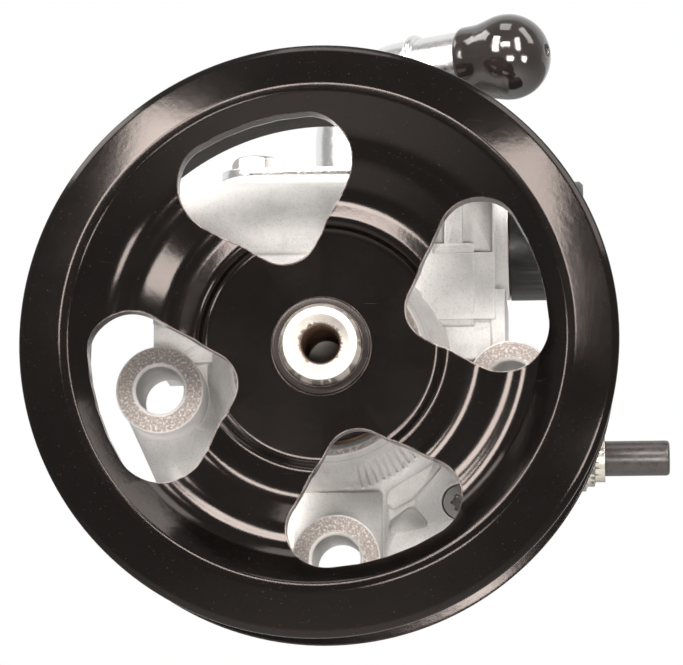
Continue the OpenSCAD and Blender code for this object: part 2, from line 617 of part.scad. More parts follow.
// Suction pipe brazed to its flange plate, bent toward the right
module on_pipe() translate([pipe_x, pipe_y, 0]) rotate([0, 0, -pipe_turn]) children();
module along_end() on_pipe()
    translate([pipe_bend * (1 - sin(pipe_rise)), 0, pipe_up + pipe_bend * cos(pipe_rise)])
        rotate([0, 90 - pipe_rise, 0]) children();
pipe_size = 0.15;
module pipe_run(r, extra) {
    on_pipe() {
        translate([0, 0, pad_z - 8 - extra]) cylinder(r = r + pipe_size, h = pipe_up - pad_z + 9.5 + extra);
        translate([pipe_bend, 0, pipe_up]) rotate([90, 0, 0]) rotate([0, 0, 90 + pipe_rise])
            rotate_extrude(angle = 90 - pipe_rise) translate([pipe_bend, 0]) circle(r = r);
    }
    along_end() translate([0, 0, -1.5]) cylinder(r = r + pipe_size, h = pipe_end + 1.5 + extra);
}
module suction_pipe() color("#c2c1bd") difference() {
    union() {
        pipe_run(pipe_r - pipe_size, 0);
        translate([0, 0, pad_z]) linear_extrude(flange_t) rounded(pad);
        along_end() translate([0, 0, 3.6]) rotate_extrude() translate([pipe_r, 0]) circle(r = 1.1);
    }
    pipe_run(pipe_r - pipe_wall - pipe_size, e);
    on_pipe() translate([0, 0, pad_z - 5]) rotate_extrude() translate([pipe_r - 0.7, 0]) square([2, 2]);
    for (p = suction_pts) translate([p[0], p[1], pad_z - e])
        cylinder(r = suction_bolt_r + 0.3, h = flange_t + 2 * e);
}
module suction_seal() color("#23201f") translate([pipe_x, pipe_y, pad_z - 4])
    rotate_extrude() polygon([[pipe_r - 0.7, -1], [pipe_r + run, -1], [pipe_r + run, 1], [pipe_r - 0.7, 1]]);
module suction_bolts() color("#a9a7a2") for (p = suction_pts) translate([p[0], p[1], pad_z + flange_t]) {
    translate([0, 0, -13]) cylinder(r = suction_bolt_r, h = 14);
    cylinder(r = suction_hex - 0.9, h = 1);
    translate([0, 0, 0.4]) rotate([0, 0, 10]) cylinder(r = suction_hex, h = 3.3, $fn = 6);
}

// Soft cap: neck, bulb and rounded end
cap_in = pipe_end - 15;
cap_neck = pipe_r + 0.85;
cap_r = pipe_r + 2.2;
cap_end = pipe_end + 6;
cap_round = 9.8;
module suction_cap() color("#171514") along_end() rotate_extrude() polygon(concat(
    [[0, pipe_end], [pipe_r, pipe_end], [pipe_r, cap_in], [cap_neck - 0.4, cap_in], [cap_neck, cap_in + 0.8],
        [cap_neck, cap_in + 4.4], [cap_r - 0.7, cap_in + 7], [cap_r - 0.1, cap_in + 9.4]],
    [for (a = [0:12:72]) [cap_r * cos(a), cap_end - cap_round + cap_round * sin(a)]],
    [[1.6, cap_end - 0.1], [0.8, cap_end - 0.6], [0, cap_end - 0.8]]));

// Pressure switch: hexagon, stepped body, terminal pin and washer
switch_hex = switch_x + washer_t;
switch_len = 18.5;
switch_end = switch_hex + switch_len;
switch_hex_r = 10.4;
switch_hex_h = 9;
switch_step = switch_hex + switch_hex_h;
switch_root = 33;
switch_port = 1.2;
switch_pin_r = 4.1;
module on_switch() translate([0, switch_y, switch_z]) children();
module switch_body() color("#c9c3ad") on_switch() difference() {
    union() {
        xbar(switch_thread_r, switch_root, switch_hex);
        translate([switch_hex, 0, 0]) rotate([0, 90, 0]) cylinder(r = switch_hex_r, h = switch_hex_h, $fn = 6);
        xspin([[0, switch_step - e], [8.2, switch_step - e], [8.2, switch_step + 3], [7.6, switch_step + 3.6],
            [7.6, switch_step + 5], [6.5, switch_step + 5.4], [6.5, switch_step + 7], [5.5, switch_step + 7.3],
            [5.5, switch_end], [0, switch_end]]);
    }
    xbar(switch_port, switch_root - e, switch_hex + 4);
    xbar(3, switch_end - 5, switch_end + e);
}
module switch_pin() color("#1b1918") on_switch() xspin([[0, switch_end - 5], [3, switch_end - 5],
    [3, switch_end],
    [switch_pin_r, switch_end], [switch_pin_r, switch_end + switch_pin_l - 0.6],
    [switch_pin_r - 0.6, switch_end + switch_pin_l],
    [2, switch_end + switch_pin_l], [2, switch_end + switch_pin_l - 3], [0, switch_end + switch_pin_l - 3]]);
module switch_seal() color("#a5682f") on_switch() xspin([[switch_thread_r, switch_x], [8.6, switch_x],
    [8.6, switch_hex], [switch_thread_r, switch_hex]]);

pulley();
pulley_hub();
drive_shaft();
housing();
rear_cover();
cover_screws();
cover_bolts();
bearing_outer();
bearing_inner();
bearing_balls();
bearing_cage();
bearing_ring();
shaft_seal();
shaft_bush();
rotor();
rotor_ring();
vanes();
cam_ring();
front_plate();
rear_plate();
plate_spring();
dowel_pins();
cover_seal();
plate_seal();
valve_spool();
valve_spring();
valve_plug();
plug_seal();
outlet_union();
union_seal();
outlet_cap();
suction_pipe();
suction_seal();
suction_bolts();
suction_cap();
switch_body();
switch_pin();
switch_seal();
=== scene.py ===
import math

import bpy
from mathutils import Matrix, Vector


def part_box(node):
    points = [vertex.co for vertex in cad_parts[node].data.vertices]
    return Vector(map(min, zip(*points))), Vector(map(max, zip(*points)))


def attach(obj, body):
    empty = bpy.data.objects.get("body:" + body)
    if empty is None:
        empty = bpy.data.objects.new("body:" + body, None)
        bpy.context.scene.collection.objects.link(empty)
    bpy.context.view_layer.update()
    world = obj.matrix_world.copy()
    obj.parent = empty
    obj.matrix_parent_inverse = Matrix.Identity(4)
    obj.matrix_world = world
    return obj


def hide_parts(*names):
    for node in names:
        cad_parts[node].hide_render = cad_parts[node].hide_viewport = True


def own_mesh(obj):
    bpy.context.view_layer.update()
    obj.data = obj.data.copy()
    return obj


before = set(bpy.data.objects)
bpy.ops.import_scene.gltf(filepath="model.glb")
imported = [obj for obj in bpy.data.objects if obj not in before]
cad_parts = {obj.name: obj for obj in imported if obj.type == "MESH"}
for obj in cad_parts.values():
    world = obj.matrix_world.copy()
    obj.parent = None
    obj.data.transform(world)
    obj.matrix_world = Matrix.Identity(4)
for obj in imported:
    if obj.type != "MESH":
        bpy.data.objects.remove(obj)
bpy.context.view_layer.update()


# Cast body: an aluminium gravity casting with a sandy skin, fettled along its parting lines.
# The lug fronts, the barrel ends and the pad are cut flat afterwards; the lug fronts, the nose front and the
# cover's back face show the cutter's rings.
def new_finish(name):
    mat = bpy.data.materials.new(name)
    mat.use_nodes = True
    tree = mat.node_tree
    place = tree.nodes.new("ShaderNodeTexCoord").outputs["Object"]
    return mat, tree, tree.nodes["Principled BSDF"], place


def grain(tree, place, size, detail=3.0, rough=0.6):
    noise = tree.nodes.new("ShaderNodeTexNoise")
    noise.inputs["Scale"].default_value = 1.0 / size
    noise.inputs["Detail"].default_value = detail
    noise.inputs["Roughness"].default_value = rough
    tree.links.new(place, noise.inputs["Vector"])
    return noise.outputs["Fac"]


def stretched(tree, place, scale, turn=(0, 0, 0)):
    mapping = tree.nodes.new("ShaderNodeMapping")
    mapping.inputs["Scale"].default_value = scale
    mapping.inputs["Rotation"].default_value = turn
    tree.links.new(place, mapping.inputs["Vector"])
    return mapping.outputs["Vector"]


def steps(tree, value, stops):
    ramp = tree.nodes.new("ShaderNodeValToRGB")
    ramp.color_ramp.elements[0].position = stops[0][0]
    ramp.color_ramp.elements[0].color = (*stops[0][1], 1)
    ramp.color_ramp.elements[1].position = stops[-1][0]
    ramp.color_ramp.elements[1].color = (*stops[-1][1], 1)
    for spot, colour in stops[1:-1]:
        ramp.color_ramp.elements.new(spot).color = (*colour, 1)
    tree.links.new(value, ramp.inputs["Fac"])
    return ramp.outputs["Color"]


def span(tree, value, low, high, out_low, out_high):
    node = tree.nodes.new("ShaderNodeMapRange")
    node.inputs["From Min"].default_value = low
    node.inputs["From Max"].default_value = high
    node.inputs["To Min"].default_value = out_low
    node.inputs["To Max"].default_value = out_high
    tree.links.new(value, node.inputs["Value"])
    return node.outputs["Result"]


def sums(tree, kind, a, b):
    node = tree.nodes.new("ShaderNodeMath")
    node.operation = kind
    for socket, value in zip(node.inputs, (a, b)):
        if isinstance(value, (int, float)):
            socket.default_value = value
        else:
            tree.links.new(value, socket)
    return node.outputs["Value"]


def blended(tree, factor, a, b):
    node = tree.nodes.new("ShaderNodeMix")
    node.data_type = "RGBA"
    tree.links.new(factor, node.inputs["Factor"])
    for socket, value in ((node.inputs["A"], a), (node.inputs["B"], b)):
        if isinstance(value, tuple):
            socket.default_value = (*value, 1)
        else:
            tree.links.new(value, socket)
    return node.outputs["Result"]


def relief(tree, height, depth, strength=1.0, under=None):
    bump = tree.nodes.new("ShaderNodeBump")
    bump.inputs["Strength"].default_value = strength
    bump.inputs["Distance"].default_value = depth
    tree.links.new(height, bump.inputs["Height"])
    if under is not None:
        tree.links.new(under, bump.inputs["Normal"])
    return bump.outputs["Normal"]


def soft_edges(tree, radius):
    bevel = tree.nodes.new("ShaderNodeBevel")
    bevel.samples = 6
    bevel.inputs["Radius"].default_value = radius
    return bevel.outputs["Normal"]


def edge_mask(tree, radius, low, high):
    dot = tree.nodes.new("ShaderNodeVectorMath")
    dot.operation = "DOT_PRODUCT"
    tree.links.new(soft_edges(tree, radius), dot.inputs[0])
    tree.links.new(tree.nodes.new("ShaderNodeNewGeometry").outputs["Normal"], dot.inputs[1])
    return span(tree, dot.outputs["Value"], high, low, 0.0, 1.0)


def pick(*pieces):
    bpy.ops.object.select_all(action="DESELECT")
    for piece in pieces:
        piece.select_set(True)
        bpy.context.view_layer.objects.active = piece


def settle():
    bpy.ops.object.transform_apply(location=True, rotation=True, scale=True)


def wear(*nodes, finish):
    for name in nodes:
        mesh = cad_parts[name].data
        mesh.materials.clear()
        mesh.materials.append(finish)


def finished(piece, body, slot, finish, *nodes, bend=32):
    pick(piece)
    bpy.ops.object.shade_smooth_by_angle(angle=math.radians(bend))
    piece.data.materials.clear()
    piece.data.materials.append(finish)
    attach(piece, body)
    if nodes:
        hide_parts(*nodes)


SAME_SPOT = 0.000002


def smoothed(node, name, body, slot, finish, bend=32):
    piece = bpy.data.objects.new(name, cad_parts[node].data.copy())
    bpy.context.collection.objects.link(piece)
    pick(piece)
    bpy.ops.object.mode_set(mode="EDIT")
    bpy.ops.mesh.select_all(action="SELECT")
    bpy.ops.mesh.remove_doubles(threshold=SAME_SPOT)
    bpy.ops.object.mode_set(mode="OBJECT")
    finished(piece, body, slot, finish, node, bend=bend)


FACE_BAND = 0.00006


def cut_mask(tree, place, depths):
    parts = tree.nodes.new("ShaderNodeSeparateXYZ")
    tree.links.new(place, parts.inputs["Vector"])
    mask = 0.0
    for depth in depths:
        same = tree.nodes.new("ShaderNodeMath")
        same.operation = "COMPARE"
        tree.links.new(parts.outputs["Y"], same.inputs[0])
        same.inputs[1].default_value = depth
        same.inputs[2].default_value = FACE_BAND
        mask = sums(tree, "MAXIMUM", mask, same.outputs["Value"])
    return mask


def cast_finish(name, bright, dark, cut_depths, face):
    mat, tree, shader, place = new_finish(name)
    sand = grain(tree, place, 0.0008, 4.0, 0.65)
    cloud = grain(tree, place, 0.012, 3.0, 0.55)
    tone = steps(tree, cloud, ((0.3, dark), (0.52, bright), (0.75, tuple(0.95 * c for c in bright))))
    pits = span(tree, grain(tree, place, 0.0005, 2.0), 0.34, 0.46, 0.86, 1.0)
    shade = tree.nodes.new("ShaderNodeMix")
    shade.data_type = "RGBA"
    shade.blend_type = "MULTIPLY"
    shade.inputs["Factor"].default_value = 1.0
    tree.links.new(tone, shade.inputs["A"])
    tree.links.new(pits, shade.inputs["B"])
    # Paler edges: partly bare fettled metal, partly painted highlight on the rounded edges.
    bare_and_lit_edges = edge_mask(tree, 0.0008, 0.9, 0.985)
    cut = cut_mask(tree, place, cut_depths)
    chatter = grain(tree, place, 0.0006, 5.0, 0.75)
    bared = (0.78, 0.77, 0.75)
    milled = steps(tree, chatter, ((0.38, face), (0.52, tuple(1.3 * c for c in face)), (0.68, bared)))
    faced = blended(tree, cut, shade.outputs["Result"], milled)
    tree.links.new(blended(tree, bare_and_lit_edges, faced, (0.84, 0.83, 0.81)), shader.inputs["Base Color"])
    tree.links.new(span(tree, sand, 0.3, 0.7, 0.55, 0.78), shader.inputs["Roughness"])
    shader.inputs["Metallic"].default_value = 0.4
    soft = soft_edges(tree, 0.0007)
    hills = relief(tree, cloud, 0.0003, 0.4, soft)
    tree.links.new(relief(tree, sand, 0.00012, 0.5, hills), shader.inputs["Normal"])
    return mat


LUG_FRONT = 0.024
NOSE_FRONT = 0.022
COVER_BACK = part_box("rear_cover")[1][1]
casting = cast_finish("cast_body", (0.70, 0.69, 0.67), (0.58, 0.57, 0.55),
                      (LUG_FRONT, NOSE_FRONT), (0.24, 0.21, 0.19))
cover_casting = cast_finish("cast_cover", (0.64, 0.63, 0.61), (0.52, 0.51, 0.49),
                            (COVER_BACK,), (0.48, 0.47, 0.45))
smoothed("housing", "cast_housing", "pump", "cast_alloy", casting, bend=20)
smoothed("rear_cover", "cast_rear_cover", "pump", "cover_alloy", cover_casting, bend=20)


# Barrel flank: the valve barrel swells a little over the casting's flat side, up to the step at its end.
# It is cast in one with the body and has the same skin.
FLANK_R, FLANK_Y, FLANK_Z = 0.021, 0.0518, 0.0193
FLANK_FROM, FLANK_TO, FLANK_BACK = 0.021, 0.033, 0.0333
QUARTER = math.radians(90)
bpy.ops.object.select_all(action="DESELECT")
bpy.ops.mesh.primitive_cylinder_add(vertices=192, radius=FLANK_R, depth=FLANK_TO - FLANK_FROM,
                                    location=((FLANK_FROM + FLANK_TO) / 2, FLANK_Y, FLANK_Z),
                                    rotation=(0, QUARTER, 0))
flank = bpy.context.object
flank.name = "barrel_flank"
settle()
bpy.ops.object.mode_set(mode="EDIT")
bpy.ops.mesh.select_all(action="SELECT")
bpy.ops.mesh.bisect(plane_co=(0, FLANK_BACK, 0), plane_no=(0, 1, 0), use_fill=True, clear_outer=True)
bpy.ops.object.mode_set(mode="OBJECT")
rounding = flank.modifiers.new("cast_edge", "BEVEL")
rounding.width = 0.0004
rounding.segments = 3
bpy.ops.object.modifier_apply(modifier="cast_edge")
finished(flank, "pump", "cast_alloy", casting)


# Pumping group and shaft bearings: ground steel rings, plates, rotor and vanes behind the nose.
# They are pressed, pinned or slid into the casting before the cover closes it.
def ground_steel(name, bright, dark, rough):
    mat, tree, shader, place = new_finish(name)
    lines = grain(tree, stretched(tree, place, (1.0, 26.0, 1.0)), 0.004, 4.0)
    film = grain(tree, place, 0.009, 2.0)
    tree.links.new(steps(tree, film, ((0.3, dark), (0.7, bright))), shader.inputs["Base Color"])
    tree.links.new(span(tree, lines, 0.3, 0.7, rough * 0.75, rough * 1.3), shader.inputs["Roughness"])
    shader.inputs["Metallic"].default_value = 1.0
    tree.links.new(relief(tree, lines, 0.00003, 0.5, soft_edges(tree, 0.0003)), shader.inputs["Normal"])
    return mat


def soft_black(name, colour, rough, size):
    mat, tree, shader, place = new_finish(name)
    skin = grain(tree, place, size, 3.0)
    pale = tuple(min(1.0, 1.9 * c + 0.006) for c in colour)
    tree.links.new(steps(tree, skin, ((0.35, colour), (0.8, pale))), shader.inputs["Base Color"])
    tree.links.new(span(tree, skin, 0.3, 0.7, rough * 0.8, rough * 1.25), shader.inputs["Roughness"])
    tree.links.new(relief(tree, skin, 0.00005, 0.5, soft_edges(tree, 0.0004)), shader.inputs["Normal"])
    return mat


wear("bearing_outer", "bearing_inner", "bearing_balls",
     finish=ground_steel("bearing_steel", (0.72, 0.71, 0.70), (0.55, 0.54, 0.52), 0.16))
wear("bearing_cage", finish=ground_steel("cage_brass", (0.62, 0.48, 0.22), (0.45, 0.33, 0.14), 0.3))
wear("bearing_ring", "rotor_ring",
     finish=ground_steel("browned_spring_ring", (0.15, 0.10, 0.07), (0.07, 0.045, 0.03), 0.42))
wear("shaft_bush",
     finish=ground_steel("sintered_bronze", (0.52, 0.37, 0.18), (0.36, 0.25, 0.12), 0.45))
wear("rotor", "vanes", "cam_ring", "front_plate", "rear_plate", "valve_spool",
     finish=ground_steel("pump_steel", (0.45, 0.44, 0.42), (0.33, 0.32, 0.31), 0.28))
spring_steel = ground_steel("spring_steel", (0.38, 0.37, 0.36), (0.27, 0.265, 0.26), 0.33)
wear("plate_spring", "dowel_pins", finish=spring_steel)
wear("shaft_seal", "cover_seal", "plate_seal", "plug_seal", "suction_seal",
     finish=soft_black("seal_rubber", (0.02, 0.018, 0.017), 0.6, 0.0012))


# Valve spring: spring wire wound in seven coils, standing between the barrel's plug and the spool.
# Nothing fixes it, and the spool squeezes it by eight millimetres on its full stroke.
SPRING_FROM, SPRING_TO = -0.0300, -0.0081
COIL_R, WIRE_R, COILS, COIL_STEPS = 0.006, 0.0007, 7, 48
VALVE_Y, VALVE_Z, SQUEEZED = 0.046, 0.0318, 0.632
bpy.ops.object.select_all(action="DESELECT")
bpy.ops.mesh.primitive_circle_add(vertices=16, radius=WIRE_R, location=(COIL_R, 0, 0), rotation=(QUARTER, 0, 0))
coil = bpy.context.object
coil.name = "wound_valve_spring"
settle()
winding = coil.modifiers.new("winding", "SCREW")
winding.axis = "Z"
winding.steps = COIL_STEPS
winding.render_steps = COIL_STEPS
winding.iterations = COILS
winding.screw_offset = (SPRING_TO - SPRING_FROM - 2 * WIRE_R) / COILS
bpy.ops.object.modifier_apply(modifier="winding")
bpy.ops.object.mode_set(mode="EDIT")
bpy.ops.mesh.select_all(action="SELECT")
bpy.ops.mesh.fill_holes(sides=0)
bpy.ops.mesh.normals_make_consistent(inside=False)
bpy.ops.object.mode_set(mode="OBJECT")
coil_foot = Matrix.Translation((SPRING_FROM + WIRE_R, VALVE_Y, VALVE_Z))
coil.matrix_world = coil_foot @ Matrix.Rotation(QUARTER, 4, "Y")
settle()
finished(coil, "pump", "spring_steel", spring_steel, "valve_spring")
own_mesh(coil)


# Drive shaft: turned steel bar, bright where it stands out of the hub, with a thread for the pulling screw.
# The pulley's hub is pressed on it from the front.
def turned_steel(name, bright, dark, rough, lead):
    mat, tree, shader, place = new_finish(name)
    wave = tree.nodes.new("ShaderNodeTexWave")
    wave.wave_type = "RINGS"
    wave.rings_direction = "Y"
    wave.inputs["Scale"].default_value = lead
    wave.inputs["Distortion"].default_value = 1.2
    wave.inputs["Detail"].default_value = 2.0
    tree.links.new(place, wave.inputs["Vector"])
    film = grain(tree, place, 0.003, 3.0)
    tree.links.new(steps(tree, film, ((0.3, dark), (0.68, bright))), shader.inputs["Base Color"])
    rings = wave.outputs["Fac"]
    tree.links.new(span(tree, rings, 0.0, 1.0, rough * 0.8, rough * 1.25), shader.inputs["Roughness"])
    shader.inputs["Metallic"].default_value = 1.0
    tree.links.new(relief(tree, rings, 0.00002, 0.6, soft_edges(tree, 0.0004)), shader.inputs["Normal"])
    return mat


CUTTER_RINGS = 900.0
shaft_finish = turned_steel("turned_shaft", (0.43, 0.40, 0.365), (0.32, 0.295, 0.27), 0.55, CUTTER_RINGS)
smoothed("drive_shaft", "pump_shaft", "turning", "shaft_steel", shaft_finish, bend=15)


def softened(corners, parts=6):
    line = []
    for k, (r, h, bend) in enumerate(corners):
        here = Vector((r, h))
        if bend == 0:
            line.append((r, h))
            continue
        back = Vector(corners[k - 1][:2]) - here
        ahead = Vector(corners[(k + 1) % len(corners)][:2]) - here
        near = here + back.normalized() * min(bend, 0.48 * back.length)
        far = here + ahead.normalized() * min(bend, 0.48 * ahead.length)
        for step in range(parts + 1):
            t = step / parts
            spot = near * (1 - t) ** 2 + here * 2 * t * (1 - t) + far * t ** 2
            line.append((spot.x, spot.y))
    return line


def turned(name, line, turns, pose):
    bpy.ops.object.select_all(action="DESELECT")
    bpy.ops.mesh.primitive_plane_add(size=0.001)
    piece = bpy.context.object
    piece.name = name
    bpy.ops.object.mode_set(mode="EDIT")
    bpy.ops.mesh.merge(type="CENTER")
    bpy.ops.transform.translate(value=(line[0][0] / 1000, 0, line[0][1] / 1000))
    for (r0, h0), (r1, h1) in zip(line, line[1:]):
        move = ((r1 - r0) / 1000, 0, (h1 - h0) / 1000)
        bpy.ops.mesh.extrude_region_move(TRANSFORM_OT_translate={"value": move})
    bpy.ops.mesh.select_all(action="SELECT")
    bpy.ops.mesh.spin(steps=turns, angle=2 * math.pi, center=(0, 0, 0), axis=(0, 0, 1))
    bpy.ops.mesh.select_all(action="SELECT")
    bpy.ops.mesh.remove_doubles(threshold=SAME_SPOT)
    bpy.ops.mesh.normals_make_consistent(inside=False)
    bpy.ops.object.mode_set(mode="OBJECT")
    piece.matrix_world = pose
    settle()
    return piece


def closed(line):
    return line + [line[0]]


ALONG_SHAFT = Matrix.Rotation(-QUARTER, 4, "X")
THREAD_WALL, THREAD_ROOT, THREAD_CREST = 4.75, 4.6, 4.1
THREAD_FROM, THREAD_LEAD, THREAD_TURNS = 0.4, 1.25, 16
CREST_FROM, CREST_TO = 0.95, 1.1
thread_line = [(THREAD_WALL, THREAD_FROM)]
for turn in range(THREAD_TURNS):
    lead = turn * THREAD_LEAD
    thread_line += [(THREAD_ROOT, THREAD_FROM + lead), (THREAD_CREST, CREST_FROM + lead),
                    (THREAD_CREST, CREST_TO + lead)]
thread_end = THREAD_FROM + THREAD_TURNS * THREAD_LEAD
thread_line += [(THREAD_ROOT, thread_end), (THREAD_WALL, thread_end)]
pull_thread = turned("pull_thread", closed(thread_line), 64, ALONG_SHAFT)
# The thread's dark brown is painted shade inside the shaft's bore.
finished(pull_thread, "turning", "shaft_steel",
         turned_steel("bore_thread_painted_shade", (0.22, 0.16, 0.12), (0.10, 0.07, 0.055), 0.4, CUTTER_RINGS))


# Pulley and hub: one pressed steel disc with a rolled, ribbed rim, painted satin black with its hub.
# Handling leaves fine scratches and dust; the edges round the windows are painted pale pink-brown, partly bare
# steel and partly painted highlight.
def rim_inside(tree, place):
    parts = tree.nodes.new("ShaderNodeSeparateXYZ")
    tree.links.new(place, parts.inputs["Vector"])
    flat = sums(tree, "ADD", sums(tree, "POWER", sums(tree, "ABSOLUTE", parts.outputs["X"], 0), 2.0),
                sums(tree, "POWER", sums(tree, "ABSOLUTE", parts.outputs["Z"], 0), 2.0))
    reach = sums(tree, "SQRT", flat, 0)
    past_web = span(tree, reach, 0.051, 0.053, 0.0, 1.0)
    under_lip = span(tree, reach, 0.0575, 0.0565, 0.0, 1.0)
    ring = sums(tree, "MULTIPLY", past_web, under_lip)
    return sums(tree, "MULTIPLY", ring, span(tree, parts.outputs["Y"], -0.007, -0.005, 0.0, 1.0))


def black_paint(name, colour, rough):
    mat, tree, shader, place = new_finish(name)
    cloud = grain(tree, place, 0.02, 4.0, 0.6)
    peel = grain(tree, place, 0.0018, 3.0, 0.5)
    dust = span(tree, grain(tree, place, 0.0005, 2.0), 0.68, 0.76, 0.0, 1.0)
    brown = tuple(1.5 * c for c in colour)
    paint = steps(tree, cloud, ((0.3, colour), (0.7, brown)))
    dusty = blended(tree, sums(tree, "MULTIPLY", dust, 0.12), paint, (0.16, 0.14, 0.125))
    scratch = grain(tree, stretched(tree, place, (1.0, 1.0, 30.0), (0.3, 0.9, 0.2)), 0.012, 5.0)
    fine = span(tree, scratch, 0.70, 0.74, 0.0, 1.0)
    # Pale pink-brown edges: partly paint taken off by handling, partly painted highlight on the rounded edges.
    edge_wear_and_highlight = edge_mask(tree, 0.0006, 0.84, 0.96)
    patches = span(tree, grain(tree, place, 0.004, 4.0), 0.36, 0.56, 0.35, 1.0)
    worn_and_lit_edges = sums(tree, "MULTIPLY", edge_wear_and_highlight, patches)
    scratches_and_lit_edges = sums(tree, "MAXIMUM", sums(tree, "MULTIPLY", fine, 0.03), sums(tree, "MULTIPLY", worn_and_lit_edges, 0.8))
    tree.links.new(blended(tree, scratches_and_lit_edges, dusty, (0.50, 0.41, 0.37)), shader.inputs["Base Color"])
    base = span(tree, cloud, 0.3, 0.7, rough * 0.8, rough * 1.25)
    dull = sums(tree, "MULTIPLY", rim_inside(tree, place), 0.45)
    tree.links.new(sums(tree, "ADD", base, dull), shader.inputs["Roughness"])
    tree.links.new(relief(tree, peel, 0.00004, 0.35, soft_edges(tree, 0.0006)), shader.inputs["Normal"])
    shader.inputs["Specular IOR Level"].default_value = 0.27
    shader.inputs["Specular Tint"].default_value = (1.0, 0.88, 0.82, 1)
    return mat


FRONT = [(11, 3, 0), (26, 3, 1.0), (28.0, 0.15, 1.3), (34.4, 1.4, 2.8), (42.3, -3.9, 2.6),
         (46.7, -4.4, 3.2), (54.6, -12.2, 0.5), (56.4, -12.2, 0.25), (64.6, -9.0, 0.25),
         (66, -8.0, 0.4), (66, -6.8, 0.3), (61.6, -5.6, 0.2)]
TIP_R, ROOT_R, TRACK_START = 61.6, 59.1, -5.1
RIB_PITCH, GROOVE_FLAT, GROOVE_TOP = 3.56, 0.5, 2.32
TAIL = [(61.6, 16.76, 0.2), (65.2, 17.46, 0.3), (65.2, 18.46, 0.5), (53.6, 18.46, 0.3)]
BACK = [(55.6, -8.0, 1.5), (48.07, -0.98, 1.5), (43.26, -0.34, 2.0), (35.16, 4.99, 2.4),
        (29.6, 4.02, 1.0), (27.75, 6.5, 1.0), (11, 6.5, 0)]
grooves = []
for rib in range(6):
    mid = TRACK_START + (rib + 0.5) * RIB_PITCH
    grooves += [(TIP_R, mid - GROOVE_TOP / 2, 0.3), (ROOT_R, mid - GROOVE_FLAT / 2, 0.2),
                (ROOT_R, mid + GROOVE_FLAT / 2, 0.2), (TIP_R, mid + GROOVE_TOP / 2, 0.3)]
pulley = turned("belt_pulley", closed(softened(FRONT + grooves + TAIL + BACK, 5)), 192, ALONG_SHAFT)

WINDOW_TURN, WINDOW_HALF = 17.5, 14.4
WINDOW_TIP, WINDOW_CORNER = (27.5, 7.5), (41.3, 9.5)
CUT_MID, CUT_DEPTH = 0.0025, 0.033
bpy.ops.object.select_all(action="DESELECT")
cutters = []
for window in range(4):
    rounds = [(*WINDOW_TIP, 0.0)] + [(*WINDOW_CORNER, k * WINDOW_HALF / 2) for k in range(-2, 3)]
    for k, (reach, radius, lean) in enumerate(rounds):
        angle = math.radians(WINDOW_TURN + 90 * window + lean)
        spot = (reach * math.cos(angle) / 1000, CUT_MID, reach * math.sin(angle) / 1000)
        bpy.ops.mesh.primitive_cylinder_add(vertices=96, radius=radius / 1000, depth=CUT_DEPTH,
                                            location=spot, rotation=(QUARTER, 0, 0))
        if k == 0:
            cutters.append(bpy.context.object)
            settle()
            bpy.ops.object.mode_set(mode="EDIT")
    bpy.ops.mesh.select_all(action="SELECT")
    bpy.ops.mesh.convex_hull()
    bpy.ops.object.mode_set(mode="OBJECT")


def shaped_by(piece, tool, kind):
    pick(piece)
    shaping = piece.modifiers.new("shaping", "BOOLEAN")
    shaping.operation = kind
    shaping.solver = "EXACT"
    shaping.object = tool
    bpy.ops.object.modifier_apply(modifier="shaping")
    bpy.data.objects.remove(tool)


for cutter in cutters:
    shaped_by(pulley, cutter, "DIFFERENCE")
pulley_paint = black_paint("pulley_paint", (0.0012, 0.00095, 0.00085), 0.125)
finished(pulley, "turning", "pulley_black", pulley_paint, "pulley")

HUB = [(9.06, 2.0, 0), (9.3, 1.7, 0), (11, 1.7, 0.4), (11, 6.5, 0), (15, 6.5, 0.3),
       (15, 8.5, 0.5), (11, 9.3, 0.4), (11, 24.3, 0.3), (9.06, 24.3, 0)]
hub = turned("pressed_hub", closed(softened(HUB, 4)), 128, ALONG_SHAFT)
hub_paint = black_paint("hub_paint", (0.0025, 0.002, 0.0018), 0.28)
finished(hub, "turning", "hub_black", hub_paint, "pulley_hub")


# Fasteners, plug and pressure union: cold formed steel, zinc plated.
# The lower screws sit in counterbores and the pipe's bolts stand on its flange.
# The plug and the union are screwed into the two ends of the barrel.
def zinc_plate(name, bright, dark, rough):
    mat, tree, shader, place = new_finish(name)
    cloud = grain(tree, place, 0.02, 2.0, 0.5)
    fine = grain(tree, place, 0.0008, 3.0)
    tree.links.new(steps(tree, cloud, ((0.32, dark), (0.7, bright))), shader.inputs["Base Color"])
    tree.links.new(span(tree, fine, 0.3, 0.7, rough * 0.75, rough * 1.3), shader.inputs["Roughness"])
    shader.inputs["Metallic"].default_value = 1.0
    tree.links.new(relief(tree, fine, 0.00003, 0.4, soft_edges(tree, 0.0004)), shader.inputs["Normal"])
    return mat


